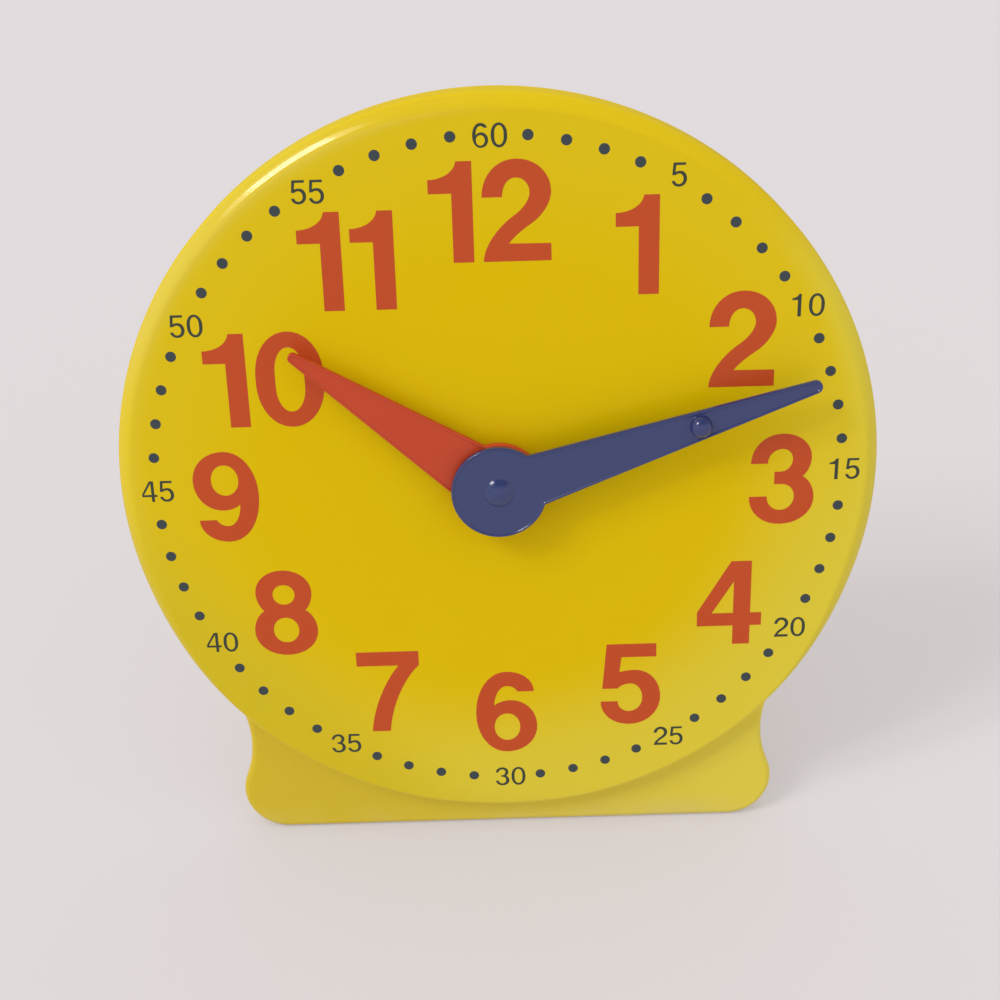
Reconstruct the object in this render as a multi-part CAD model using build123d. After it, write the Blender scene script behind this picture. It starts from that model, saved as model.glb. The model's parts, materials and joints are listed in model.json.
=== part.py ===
from build123d import *
import os
from math import acos, atan2, cos, hypot, pi, radians, sin, sqrt, tan

# Geared teaching clock on a fold-out leg, each physical piece a separate solid.
# Pieces are drawn in the dial's frame: X to the right and Y up along the dial, Z out of its face towards
# the reader, with the origin at the centre of the face. A depth is counted backwards from the face.
# The finished pieces are then leant back on the table: Z up, the dial facing -Y, the origin at the middle
# of the sole. Lengths are in millimetres and angles in degrees.

# Attitude on the table and time shown
lean_back = 12.0  # dial from upright
leg_spread = 22.0  # open leg from the rear cover
shown_hour = 10
shown_minute = 12

# Case outline, seen square on to the dial
dial_radius = 170.0
foot_half_width = 129.5
foot_drop = 184.5  # dial centre down to the lower edge of the foot
foot_corner = 21.0
neck_radius = 52.0  # hollow sweep from the dial's edge into the foot
neck_bite = 0.05  # how far that sweep runs into the dial's edge, so that the two join

# Case walls and edges
wall = 2.5
sole_wall = 3.0
rim_round = 6.0
foot_round = 3.0
foot_setback = 8.0  # dial face to the front of the foot
cover_thickness = 2.5
cover_gap = 0.25  # all round between the rear cover and the case

# Fits
running_fit = 0.06  # radial clearance of a turning shaft
seat_fit = 0.02  # radial clearance of a piece that is pressed or screwed in place
end_play = 0.15  # gap along a shaft between pieces that turn past each other

# Motion work behind the dial
gear_module = 1.25
pressure_angle = 25.0
tooth_backlash = 0.16  # taken off the thickness of each tooth
root_depth = 1.25  # tooth root below the pitch circle, in modules
minute_teeth = 15
idler_wheel_teeth = 45
idler_pinion_teeth = 12
hour_teeth = 48
gear_width = 3.6
train_gap = 0.6  # between the planes of the two gear pairs

# Shafts and their bearings
arbor_radius = 4.0
arbor_flat = 3.2  # shaft centre to each of its two flats
pipe_wall = 1.94
pipe_flat = 5.0
bush_wall = 2.0
bush_flange_radius = 13.0
bush_flange = 1.3
bush_nose = 3.0  # bush standing proud of the dial face
washer_thickness = 0.4
washer_width = 4.0
post_radius = 2.0
post_boss_radius = 5.0
post_skin = 1.2  # dial left in front of the idler post's blind hole
idler_hub_radius = 4.6

# Gear bridge and the tail of the arbor
spring_room = 1.0
spring_radius = 7.0
spring_thickness = 0.4
bridge_thickness = 2.0
bridge_margin = 6.0  # screw centre to the edge of the bridge
bridge_low = 22.0
bridge_high = 62.0
pillar_radius = 4.0
pillar_gap = 2.75  # between a pillar and the teeth beside it
arbor_tail = 1.6
clip_thickness = 0.6
clip_radius = 6.5
clip_neck = 0.8  # depth of the clip's groove
tail_gap = 0.6

# Self-tapping screws
screw_radius = 1.5
screw_head_radius = 2.8
screw_head = 1.8
screw_length = 7.0
screw_slot = 0.8
screw_slot_depth = 0.9
screw_hole_gap = 0.2
cup_floor = 2.0
cup_wall = 1.9
cup_gap = 0.8  # between a screw head and its cup
cover_screw_inset = 9.0
foot_screw_rise = 15.0
cover_screw_angles = (0, 60, 120, 240, 300)

# Hands, as heights in front of the dial face
hand_hub_radius = 21.0
hand_thickness = 2.8
hand_lip_width = 1.1
hand_lip_height = 0.35
hand_edge_round = 0.4
hand_crotch = 1.0  # radius between hub and arm
hand_gap = 0.4
hour_hub_height = 6.4
hour_hand_reach = 109.0
hour_hand_root = 30.4
hour_hand_tip = 4.6
spacer_thickness = 1.0
spacer_width = 5.0
minute_hub_height = 3.3
minute_hand_reach = 147.0
minute_hand_root = 26.4
minute_hand_tip = 5.8
arbor_head_radius = 6.5
arbor_head_rise = 2.5
peg_distance = 92.5
peg_radius = 4.8
peg_height = 5.2
peg_round = 4.0

# Fold-out leg and its hinge
pivot_height = 25.0  # above the dial centre
pivot_standoff = 5.0  # behind the rear cover
hinge_pin_radius = 2.0
knuckle_radius = 4.5
leg_top_width = 60.0
leg_foot_width = 92.0
leg_depth = 7.5
leg_wall = 2.5
leg_fold_gap = 1.0  # between the folded leg and the rear cover
leg_side_gap = 0.4
leg_shoulder_gap = 1.0  # below the lugs, where the leg starts to widen
leg_corner = 8.0
leg_foot_wall = 5.0
leg_trim = 2.0  # length cut off to bring the leg's end flat on the table
leg_rib = 2.0
leg_rib_drop = 1.5  # rib below the edge of the channel
leg_rib_places = (0.28, 0.5, 0.72)  # as shares of the leg's length
heel_bite = 2.0  # heel's face nearer to the cover than the pin
heel_thickness = 4.0
heel_inset = 4.0
heel_gap = 0.3  # left at the stop
lug_thickness = 6.0
lug_radius = 5.5
lug_half_base = 10.0

# Depths behind the dial face, from front to back
bush_back = wall + bush_flange
hour_wheel_front = bush_back + washer_thickness + 2 * end_play
hour_wheel_back = hour_wheel_front + gear_width
minute_pinion_front = hour_wheel_back + train_gap
minute_pinion_back = minute_pinion_front + gear_width
bridge_front = minute_pinion_back + spring_room
bridge_back = bridge_front + bridge_thickness
arbor_end = bridge_back + arbor_tail
cover_front = arbor_end + tail_gap
case_depth = cover_front + cover_thickness
cup_front = cover_front - cup_floor

# Heights of the hands, written as negative depths
hour_hub_back = -(bush_nose + hand_gap)
hour_hand_front = hour_hub_back - hour_hub_height
hour_field = hour_hand_front + hand_lip_height
spacer_back = hour_field - end_play
spacer_front = spacer_back - spacer_thickness
minute_hub_back = spacer_front - end_play
minute_hand_front = minute_hub_back - minute_hub_height
minute_field = minute_hand_front + hand_lip_height

# Radii of the shafts from the arbor outwards, and the gear centres
pipe_bore = arbor_radius + running_fit
pipe_radius = pipe_bore + pipe_wall
bush_bore = pipe_radius + running_fit
bush_radius = bush_bore + bush_wall
gear_distance = gear_module * (minute_teeth + idler_wheel_teeth) / 2
hour_module = 2 * gear_distance / (idler_pinion_teeth + hour_teeth)
hour_tip_radius = hour_module * (hour_teeth / 2 + 1)
idler_tip_radius = gear_module * (idler_wheel_teeth / 2 + 1)
pillar_side = max(hour_tip_radius, idler_tip_radius) + pillar_gap + pillar_radius
pillars = [(side * pillar_side, y) for side in (-1, 1) for y in (-bridge_low, bridge_high)]

# Table top in the dial's frame, through the line where the foot's rounded front edge ends
up_y = cos(radians(lean_back))
up_z = sin(radians(lean_back))
sole_front_depth = foot_setback + foot_round
sole_half = (case_depth - sole_front_depth) / 2
sole_centre = (0, -foot_drop + sole_half * tan(radians(lean_back)), -sole_front_depth - sole_half)
table = Plane(origin=sole_centre, x_dir=(1, 0, 0), z_dir=(0, up_y, up_z))
on_table = table.location.inverse()

# Hinge pin's centre line, and the heel that stops the leg when it is open
pivot_z = -(case_depth + pivot_standoff)
pivot_above_table = (pivot_height - sole_centre[1]) * up_y + (pivot_z - sole_centre[2]) * up_z
leg_reach = pivot_above_table / cos(radians(leg_spread - lean_back)) + leg_trim
stop_room = pivot_standoff - heel_gap
heel_reach = (stop_room - heel_bite * cos(radians(leg_spread))) / sin(radians(leg_spread))
leg_inner_z = -(case_depth + leg_fold_gap)
leg_outer_z = leg_inner_z - leg_depth

# Screws that hold the rear cover: round the dial, and one in each corner of the foot
cover_screw_circle = dial_radius - cover_screw_inset
foot_screw_x = foot_half_width - foot_corner
foot_screw_y = foot_screw_rise - foot_drop


def on_dial(radius, angle):
    """Point at an angle counted clockwise from 12 o'clock."""
    return (radius * sin(radians(angle)), radius * cos(radians(angle)))


dial_screws = [on_dial(cover_screw_circle, angle) for angle in cover_screw_angles]
foot_screws = [(side * foot_screw_x, foot_screw_y) for side in (-1, 1)]
cover_screw_places = dial_screws + foot_screws


def rod(radius, front, back):
    """Solid cylinder on the dial's axis, between two depths."""
    return Pos(0, 0, -(front + back) / 2) * Cylinder(radius, back - front)


def ring(outer, inner, front, back):
    """Flat ring on the dial's axis, between two depths."""
    return Pos(0, 0, -back) * extrude(Circle(outer) - Circle(inner), back - front)


def plate(face, front, back):
    """A flat face made solid between two depths."""
    return Pos(0, 0, -back) * extrude(face, back - front)


def cross_rod(radius, length):
    """Solid cylinder along the hinge pin's centre line."""
    return Pos(0, pivot_height, pivot_z) * Rot(0, 90, 0) * Cylinder(radius, length)


def two_flats(radius, flat):
    """Round section with two flats, as on a keyed shaft."""
    return Circle(radius) & Rectangle(2 * flat, 2 * radius)


def below_table(rise):
    """Block that fills the space under the table top, or under a plane raised above it."""
    size = 4 * dial_radius
    return table.location * Pos(0, 0, rise - size / 2) * Box(size, size, size)


def foot_face(inset):
    """Foot's outline drawn in by inset, running up into the dial's disc."""
    corner_x = foot_half_width - foot_corner
    corner_y = foot_corner - foot_drop
    to_dial = dial_radius + neck_radius - neck_bite
    to_corner = foot_corner + neck_radius
    span = hypot(corner_x, corner_y)
    along = (to_dial**2 - to_corner**2 + span**2) / (2 * span)
    across = sqrt(to_dial**2 - along**2)
    neck_x = (along * corner_x - across * corner_y) / span
    neck_y = (along * corner_y + across * corner_x) / span
    corner_round = foot_corner - inset
    neck_round = neck_radius + inset
    to_top = atan2(-neck_y, -neck_x)
    to_low = atan2(corner_y - neck_y, corner_x - neck_x)
    if to_low < to_top:
        to_low += 2 * pi
    mid_neck = (to_top + to_low) / 2
    mid_corner = (to_low - pi - pi / 2) / 2
    top = (neck_x + neck_round * cos(to_top), neck_y + neck_round * sin(to_top))
    waist = (neck_x + neck_round * cos(mid_neck), neck_y + neck_round * sin(mid_neck))
    hip = (corner_x - corner_round * cos(to_low), corner_y - corner_round * sin(to_low))
    heel = (corner_x + corner_round * cos(mid_corner), corner_y + corner_round * sin(mid_corner))
    base = (corner_x, corner_y - corner_round)
    right = [ThreePointArc(top, waist, hip), ThreePointArc(hip, heel, base)]
    left = [mirror(edge, Plane.YZ) for edge in right]
    bottom = Line(base, (-base[0], base[1]))
    chord = Line(top, (-top[0], top[1]))
    return make_face(right + [bottom] + left + [chord])


def case_block(inset, dial_front, foot_front, back, dial_edge, foot_edge, rise):
    """Dial disc and foot as one filled block, drawn in by inset and trimmed level with the table."""
    disc = rod(dial_radius - inset, dial_front, back)
    disc = fillet(disc.edges().group_by(Axis.Z)[-1], dial_edge)
    foot = plate(foot_face(inset), foot_front, back)
    foot_rim = foot.edges().group_by(Axis.Z)[-1].sort_by(Axis.Y)[:-1]
    foot = fillet(foot_rim, foot_edge)
    return disc + foot - below_table(rise)


def gear_face(module, teeth, first_tooth):
    """Involute spur gear with a tooth at the angle first_tooth, clockwise from 12 o'clock."""
    pitch = module * teeth / 2
    base = pitch * cos(radians(pressure_angle))
    tip = pitch + module
    root = pitch - root_depth * module
    half_tooth = (pi * module / 2 - tooth_backlash) / (2 * pitch)
    at_base = half_tooth + tan(radians(pressure_angle)) - radians(pressure_angle)
    flank_start = max(base, root)

    def flank(radius, turn, side):
        opening = acos(min(1.0, base / radius))
        half = at_base - (tan(opening) - opening)
        return on_dial(radius, turn + side * half * 180 / pi)

    edges = []
    for tooth in range(teeth):
        turn = first_tooth + 360 * tooth / teeth
        following = turn + 360 / teeth
        middle = (flank_start + tip) / 2
        rising = [flank(radius, turn, -1) for radius in (flank_start, middle, tip)]
        falling = [flank(radius, turn, 1) for radius in (tip, middle, flank_start)]
        root_shift = (at_base if root < base else 0) * 180 / pi
        if root < base:
            root_left = on_dial(root, turn - root_shift)
            root_right = on_dial(root, turn + root_shift)
            edges.append(Line(root_left, rising[0]))
            edges.append(Line(falling[2], root_right))
            next_left = on_dial(root, following - root_shift)
        else:
            root_right = falling[2]
            next_left = flank(flank_start, following, -1)
        edges.append(ThreePointArc(*rising))
        edges.append(ThreePointArc(rising[2], on_dial(tip, turn), falling[0]))
        edges.append(ThreePointArc(*falling))
        edges.append(ThreePointArc(root_right, on_dial(root, (turn + following) / 2), next_left))
    return make_face(edges)


def front_shell():
    """Dial, rim and foot in one open-backed moulding, with its screw bosses and gear pillars."""
    outer = case_block(0, 0, foot_setback, case_depth, rim_round, foot_round, 0)
    inner_foot = foot_setback + wall
    inner = case_block(wall, wall, inner_foot, case_depth + wall, rim_round - wall, foot_round - wall, sole_wall)
    shell = outer - inner
    boss_radius = screw_radius + wall
    for x, y in dial_screws:
        shell += Pos(x, y) * rod(boss_radius, wall / 2, cup_front)
    for x, y in foot_screws:
        shell += Pos(x, y) * rod(boss_radius, foot_setback + wall / 2, cup_front)
    for x, y in pillars:
        shell += Pos(x, y) * rod(pillar_radius, wall / 2, bridge_front)
    shell += Pos(0, gear_distance) * rod(post_boss_radius, wall / 2, bush_back)
    shell -= rod(bush_radius + seat_fit, -wall, bush_back)
    shell -= Pos(0, gear_distance) * rod(post_radius + seat_fit, post_skin, bush_back)
    pilot = screw_radius + seat_fit
    cover_pilot_end = cover_front - screw_length - screw_hole_gap
    bridge_pilot_end = bridge_back - screw_length - screw_hole_gap
    for x, y in cover_screw_places:
        shell -= Pos(x, y) * rod(pilot, cover_pilot_end, cup_front)
    for x, y in pillars:
        shell -= Pos(x, y) * rod(pilot, bridge_pilot_end, bridge_front)
    return shell


def hinge_lug(side):
    """Ear on the rear cover that holds one end of the hinge pin."""
    inside = -case_depth + cover_thickness / 2
    low = (pivot_height - lug_half_base, inside)
    high = (pivot_height + lug_half_base, inside)
    top_high = (pivot_height + lug_radius, pivot_z)
    top_low = (pivot_height - lug_radius, pivot_z)
    profile = Polygon(low, top_low, top_high, high, align=None)
    profile += Pos(pivot_height, pivot_z) * Circle(lug_radius)
    lug = extrude(Plane.YZ * profile, lug_thickness)
    inner_x = leg_top_width / 2 + leg_side_gap
    return Pos(inner_x if side > 0 else -inner_x - lug_thickness) * lug


def rear_cover():
    """Flat plate let into the back of the case, with sunk screw cups and two hinge lugs."""
    inset = wall + cover_gap
    outline = Circle(dial_radius - inset) + foot_face(inset)
    cover = plate(outline, cover_front, case_depth) - below_table(sole_wall + cover_gap)
    sink = screw_head_radius + cup_gap
    for x, y in cover_screw_places:
        cover += Pos(x, y) * rod(sink + cup_wall, cup_front, cover_front)
        cover -= Pos(x, y) * rod(sink, cover_front, case_depth)
        cover -= Pos(x, y) * rod(screw_radius + screw_hole_gap, cup_front, cover_front)
    cover += hinge_lug(-1)
    cover += hinge_lug(1)
    pin_span = leg_top_width + 2 * (leg_side_gap + lug_thickness)
    return cover - cross_rod(hinge_pin_radius + seat_fit, pin_span)


def screw(seat):
    """Pan-head screw with a cross slot, its head resting at the given depth."""
    body = rod(screw_radius, seat - screw_length, seat)
    head = rod(screw_head_radius, seat, seat + screw_head)
    head = fillet(head.edges().group_by(Axis.Z)[0], screw_head / 2)
    body += head
    bar = Box(2 * screw_radius + screw_slot, screw_slot, screw_slot_depth)
    bar = Pos(0, 0, -(seat + screw_head - screw_slot_depth / 2)) * bar
    return body - bar - Rot(0, 0, 90) * bar


def screw_set(places, seat):
    """The same screw at each place, as separate solids."""
    return Compound([Pos(x, y) * screw(seat).solid() for x, y in places])


def dial_bush():
    """Flanged bearing pressed into the dial from behind."""
    bush = rod(bush_radius, -bush_nose, bush_back)
    bush += rod(bush_flange_radius, wall, bush_back)
    return bush - rod(bush_bore, -bush_nose, bush_back)


def hour_washer():
    """Thin washer between the dial bush and the hour wheel."""
    front = bush_back + end_play
    return ring(bush_bore + washer_width, bush_bore, front, front + washer_thickness)


def hour_wheel():
    """Hour wheel with its pipe, which carries the hour hand in front of the dial."""
    wheel = plate(gear_face(hour_module, hour_teeth, 180 / hour_teeth), hour_wheel_front, hour_wheel_back)
    wheel += rod(pipe_radius, hour_hub_back, hour_wheel_front)
    wheel += plate(two_flats(pipe_radius, pipe_flat), hour_field, hour_hub_back)
    return wheel - rod(pipe_bore, hour_field, hour_wheel_back)


def minute_pinion():
    """Pinion keyed to the minute arbor."""
    pinion = gear_face(gear_module, minute_teeth, 0)
    pinion -= two_flats(arbor_radius + seat_fit, arbor_flat + seat_fit)
    return plate(pinion, minute_pinion_front, minute_pinion_back)


def idler_gear():
    """Wheel and pinion in one piece, turning on the idler post."""
    wheel = gear_face(gear_module, idler_wheel_teeth, 180 - 180 / idler_wheel_teeth)
    pinion = gear_face(hour_module, idler_pinion_teeth, 180)
    gear = plate(wheel, minute_pinion_front, minute_pinion_back)
    gear += plate(pinion, hour_wheel_front, hour_wheel_back)
    hub_back = bridge_front - washer_thickness - 2 * end_play
    gear += rod(idler_hub_radius, hour_wheel_back, hub_back)
    gear -= rod(post_radius + running_fit, hour_wheel_front, hub_back)
    return Pos(0, gear_distance) * gear


def idler_washer():
    """Thin washer between the idler's hub and the gear bridge."""
    back = bridge_front - end_play
    washer = ring(idler_hub_radius, post_radius + running_fit, back - washer_thickness, back)
    return Pos(0, gear_distance) * washer


def idler_post():
    """Steel pin held by the dial's boss and by the gear bridge."""
    return Pos(0, gear_distance) * rod(post_radius, post_skin, bridge_back)


def spring_washer():
    """Dished friction washer between the minute pinion and the gear bridge."""
    inner = arbor_radius + running_fit
    front = -(minute_pinion_back + end_play / 2)
    back = -(bridge_front - end_play / 2)
    section = Polygon(
        (inner, front),
        (spring_radius, back + spring_thickness),
        (spring_radius, back),
        (inner, front - spring_thickness),
        align=None,
    )
    return revolve(Plane.XZ * section, Axis.Z)


def gear_bridge():
    """Plate on four pillars that closes the gears and carries the back ends of their shafts."""
    width = 2 * (pillar_side + bridge_margin)
    height = bridge_low + bridge_high + 2 * bridge_margin
    outline = Pos(0, (bridge_high - bridge_low) / 2) * RectangleRounded(width, height, bridge_margin)
    outline -= Circle(arbor_radius + running_fit)
    outline -= Pos(0, gear_distance) * Circle(post_radius + seat_fit)
    for x, y in pillars:
        outline -= Pos(x, y) * Circle(screw_radius + screw_hole_gap)
    return plate(outline, bridge_front, bridge_back)


def arbor_clip():
    """Open spring ring in the arbor's groove, behind the bridge."""
    inner = arbor_radius - clip_neck + seat_fit
    front = bridge_back + end_play
    mouth = Pos(0, -clip_radius) * Rectangle(2 * inner - clip_neck, 2 * clip_radius)
    return plate(Circle(clip_radius) - Circle(inner) - mouth, front, front + clip_thickness)


def minute_arbor():
    """Arbor with a domed head, which carries the minute hand, the pinion and the clip."""
    arbor = rod(arbor_radius, minute_hub_back, arbor_end)
    key = two_flats(arbor_radius, arbor_flat)
    side_cut = Circle(arbor_radius + wall) - key
    arbor += plate(key, minute_field, minute_hub_back)
    arbor -= plate(side_cut, minute_pinion_front, arbor_end)
    clip_front = bridge_back + end_play - seat_fit
    clip_back = clip_front + clip_thickness + 2 * seat_fit
    arbor -= ring(arbor_radius + wall, arbor_radius - clip_neck, clip_front, clip_back)
    dome = (arbor_head_radius**2 + arbor_head_rise**2) / (2 * arbor_head_rise)
    head_centre = -minute_field + arbor_head_rise - dome
    head = Pos(0, 0, head_centre) * Sphere(dome)
    head &= rod(arbor_head_radius, minute_field - 2 * arbor_head_rise, minute_field)
    return arbor + head


def hand_face(hub_radius, root_width, tip_width, reach):
    """Outline of a hand that points to 12 o'clock: round hub, straight taper and round tip."""
    tip_radius = tip_width / 2
    tip_centre = reach - tip_radius
    taper = atan2(root_width / 2 - tip_radius, tip_centre)
    shoulder_x = tip_radius * cos(taper)
    shoulder_y = tip_centre + tip_radius * sin(taper)
    root = root_width / 2
    arm = Polygon((-root, 0), (root, 0), (shoulder_x, shoulder_y), (-shoulder_x, shoulder_y), align=None)
    face = Circle(hub_radius) + arm + Pos(0, tip_centre) * Circle(tip_radius)
    crotch = [v for v in face.vertices() if v.Y > 0 and hypot(v.X, v.Y) < hub_radius + hand_edge_round]
    return fillet([v for v in crotch if abs(v.X) > tip_radius], hand_crotch)


def hand(root_width, tip_width, reach, front, hub_back):
    """Flat moulded hand with a raised lip round its face and a deeper hub, pointing to 12 o'clock."""
    outline = hand_face(hand_hub_radius, root_width, tip_width, reach)
    body = plate(outline, front, front + hand_thickness)
    body = fillet(body.edges().group_by(Axis.Z)[-1], hand_edge_round)
    lip = hand_lip_width
    field = hand_face(hand_hub_radius - lip, root_width - 2 * lip, tip_width - 2 * lip, reach - lip)
    body -= plate(field, front, front + hand_lip_height)
    return body + rod(hand_hub_radius - lip, front + hand_lip_height, hub_back)


def hour_hand():
    """Hour hand pressed on the flats of the hour pipe."""
    body = hand(hour_hand_root, hour_hand_tip, hour_hand_reach, hour_hand_front, hour_hub_back)
    turn = -(30 * shown_hour + shown_minute / 2)
    bore = two_flats(pipe_radius + seat_fit, pipe_flat + seat_fit)
    return Rot(0, 0, turn) * body - plate(bore, hour_hand_front, hour_hub_back)


def hand_spacer():
    """Washer that keeps the two hands apart."""
    return ring(arbor_radius + running_fit + spacer_width, arbor_radius + running_fit, spacer_front, spacer_back)


def minute_hand():
    """Minute hand with its finger peg, pressed on the flats of the arbor."""
    body = hand(minute_hand_root, minute_hand_tip, minute_hand_reach, minute_hand_front, minute_hub_back)
    peg = rod(peg_radius, minute_field - peg_height, minute_field + hand_lip_height)
    peg = fillet(peg.edges().group_by(Axis.Z)[-1], peg_round)
    body += Pos(0, peg_distance) * peg
    bore = two_flats(arbor_radius + seat_fit, arbor_flat + seat_fit)
    return Rot(0, 0, -6 * shown_minute) * body - plate(bore, minute_hand_front, minute_hub_back)


def leg_outline(inset, foot_inset):
    """Leg seen square on while folded, drawn in at its sides and its foot."""
    shoulder = pivot_height - lug_half_base - leg_shoulder_gap
    end = pivot_height - leg_reach
    foot = end + foot_inset
    top = leg_top_width / 2 - inset
    flare = (leg_foot_width - leg_top_width) / 2 / (shoulder - end)
    low = top + flare * (shoulder - foot)
    right = [(low, foot), (top, shoulder), (top, pivot_height)]
    left = [(-x, y) for x, y in reversed(right)]
    outline = Polygon(*right, *left, align=None)
    return fillet(outline.vertices().sort_by(Axis.Y)[:2], leg_corner - inset)


def leg():
    """Channel-section leg with a knuckle and a heel, swung open on its pin and trimmed to the table."""
    body = Pos(0, 0, leg_outer_z) * extrude(leg_outline(0, 0), leg_depth)
    hollow = leg_outline(leg_wall, leg_foot_wall)
    body -= Pos(0, 0, leg_outer_z + leg_wall) * extrude(hollow, leg_depth - leg_wall)
    rib_height = leg_depth - leg_rib_drop
    for share in leg_rib_places:
        rib_y = pivot_height - share * leg_reach
        rib = Pos(0, rib_y, leg_outer_z + rib_height / 2) * Box(leg_foot_width, leg_rib, rib_height)
        body += rib & Pos(0, 0, leg_outer_z) * extrude(leg_outline(0, 0), leg_depth)
    body += cross_rod(knuckle_radius, leg_top_width)
    heel_z = pivot_z + heel_bite - heel_thickness / 2
    heel = Box(leg_top_width - 2 * heel_inset, heel_reach, heel_thickness)
    body += Pos(0, pivot_height + heel_reach / 2, heel_z) * heel
    body -= cross_rod(hinge_pin_radius + running_fit, leg_top_width)
    pivot = Pos(0, pivot_height, pivot_z)
    return pivot * Rot(leg_spread, 0, 0) * pivot.inverse() * body - below_table(0)


def hinge_pin():
    """Steel pin through both lugs and the leg's knuckle."""
    return cross_rod(hinge_pin_radius, leg_top_width + 2 * (leg_side_gap + lug_thickness))


pieces = {
    "front_shell": front_shell(),
    "rear_cover": rear_cover(),
    "cover_screws": screw_set(cover_screw_places, cover_front),
    "dial_bush": dial_bush(),
    "hour_washer": hour_washer(),
    "hour_wheel": hour_wheel(),
    "hour_hand": hour_hand(),
    "hand_spacer": hand_spacer(),
    "minute_hand": minute_hand(),
    "minute_arbor": minute_arbor(),
    "minute_pinion": minute_pinion(),
    "idler_gear": idler_gear(),
    "idler_washer": idler_washer(),
    "idler_post": idler_post(),
    "spring_washer": spring_washer(),
    "gear_bridge": gear_bridge(),
    "bridge_screws": screw_set(pillars, bridge_back),
    "arbor_clip": arbor_clip(),
    "leg": leg(),
    "hinge_pin": hinge_pin(),
}

os.makedirs("parts", exist_ok=True)
for name, piece in pieces.items():
    export_step(on_table * piece, f"parts/{name}.step")
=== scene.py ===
import json
import math

import bmesh
import bpy
from mathutils import Matrix, Vector


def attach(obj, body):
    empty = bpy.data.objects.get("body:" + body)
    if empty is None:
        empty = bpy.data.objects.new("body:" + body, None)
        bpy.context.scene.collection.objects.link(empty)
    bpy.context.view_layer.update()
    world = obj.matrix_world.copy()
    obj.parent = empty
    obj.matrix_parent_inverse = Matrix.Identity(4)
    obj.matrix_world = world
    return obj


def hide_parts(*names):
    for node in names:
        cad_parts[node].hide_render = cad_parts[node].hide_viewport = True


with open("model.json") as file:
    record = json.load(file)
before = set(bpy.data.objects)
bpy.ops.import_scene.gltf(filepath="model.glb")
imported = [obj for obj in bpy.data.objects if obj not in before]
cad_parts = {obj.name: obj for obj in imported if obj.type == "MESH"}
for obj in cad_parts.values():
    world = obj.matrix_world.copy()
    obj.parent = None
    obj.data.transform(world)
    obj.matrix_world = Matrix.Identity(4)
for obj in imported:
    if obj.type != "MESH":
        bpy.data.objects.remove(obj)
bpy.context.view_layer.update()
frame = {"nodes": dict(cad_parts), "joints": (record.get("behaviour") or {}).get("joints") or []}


# Camera. It is held by hand in front of the clock and above it, looking down at the dial, with a short
# telephoto lens and a slight lean to one side.
camera_lens = 55.48
camera_sensor = 36.0
camera_eye = Vector((0.0004, -0.5509, 0.5638))
camera_aim = Vector((0.0003, 0.0212, 0.1741))
camera_lean = math.radians(-1.66)

camera_data = bpy.data.cameras.new("camera")
camera_data.lens = camera_lens
camera_data.sensor_width = camera_sensor
camera = bpy.data.objects.new("camera", camera_data)
bpy.context.scene.collection.objects.link(camera)
line_of_sight = (camera_aim - camera_eye).to_track_quat("-Z", "Y").to_matrix().to_4x4()
camera.matrix_world = Matrix.Translation(camera_eye) @ line_of_sight @ Matrix.Rotation(camera_lean, 4, "Z")
bpy.context.scene.camera = camera
bpy.context.scene.view_settings.view_transform = "Standard"


# Table and light. The clock stands on a plain pale table top, in the soft light of a bright room and of a
# wide window at the upper left, whose panes, two rows of three, shine more than the wall round them.
table_reach = 6.0
table_drop = 0.0002
table_quarters = ((-1, -1), (1, -1), (1, 1), (-1, 1))
table_colour = (0.69, 0.655, 0.67, 1)
table_roughness = 0.9
table_specular = 0.15
table_evenness = 0.4
room_colour = (1.0, 0.99, 0.985, 1)
room_strength = 0.88
wall_strength = 0.8
wall_top = 0.3
ceiling_strength = 0.2
ceiling_edge = 0.75
window_turn = math.radians(132.9)
window_height = math.radians(28.3)
window_spread = math.radians(30)
window_strength = 0.40
pane_columns = (-1, 0, 1)
pane_rows = (-0.5, 0.5)
pane_column_step = math.radians(6.5)
pane_row_step = math.radians(9.2)
pane_spread = math.radians(6.5)
pane_strength = 0.135
window_colour = (1.0, 0.985, 0.96)

hinges = {joint["name"]: joint for joint in frame["joints"]}
dial_centre = Vector(hinges["minute_spin"]["pos_m"])
lean_back = math.asin(-hinges["minute_spin"]["axis"][2])
dial_turn = Matrix.Rotation(math.pi / 2 - lean_back, 4, "X")
dial_place = Matrix.Translation(dial_centre) @ dial_turn


def node_material(name):
    """New material with its node tree and Principled shader."""
    material = bpy.data.materials.new(name)
    material.use_nodes = True
    tree = material.node_tree
    return material, tree, tree.nodes["Principled BSDF"]


def feed(tree, node, inputs):
    """Sets inputs of a node to values, or links them to outputs of other nodes."""
    for place, value in inputs.items():
        if isinstance(value, bpy.types.NodeSocket):
            tree.links.new(value, node.inputs[place])
        else:
            node.inputs[place].default_value = value


def add_node(tree, kind, inputs, **settings):
    """New node with its settings made and its inputs fed."""
    node = tree.nodes.new(kind)
    for setting, value in settings.items():
        setattr(node, setting, value)
    feed(tree, node, inputs)
    return node


def math_node(tree, operation, first, second):
    """Result of an operation on two sockets or numbers."""
    return add_node(tree, "ShaderNodeMath", {0: first, 1: second}, operation=operation).outputs["Value"]


def eased(tree, source, low, high, low_value=0, high_value=1):
    """Smooth way from one value to another between two levels of a socket, held at the ends."""
    levels = {"Value": source, "From Min": low, "From Max": high, "To Min": low_value, "To Max": high_value}
    return add_node(tree, "ShaderNodeMapRange", levels, interpolation_type="SMOOTHSTEP").outputs["Result"]


def seen_or_mirrored(tree):
    """Mask that is 1 for what the camera sees, straight, mirrored or through something clear."""
    path = add_node(tree, "ShaderNodeLightPath", {}).outputs
    mirrored = math_node(tree, "MAXIMUM", path["Is Glossy Ray"], path["Is Transmission Ray"])
    return math_node(tree, "MAXIMUM", path["Is Camera Ray"], mirrored)


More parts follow.
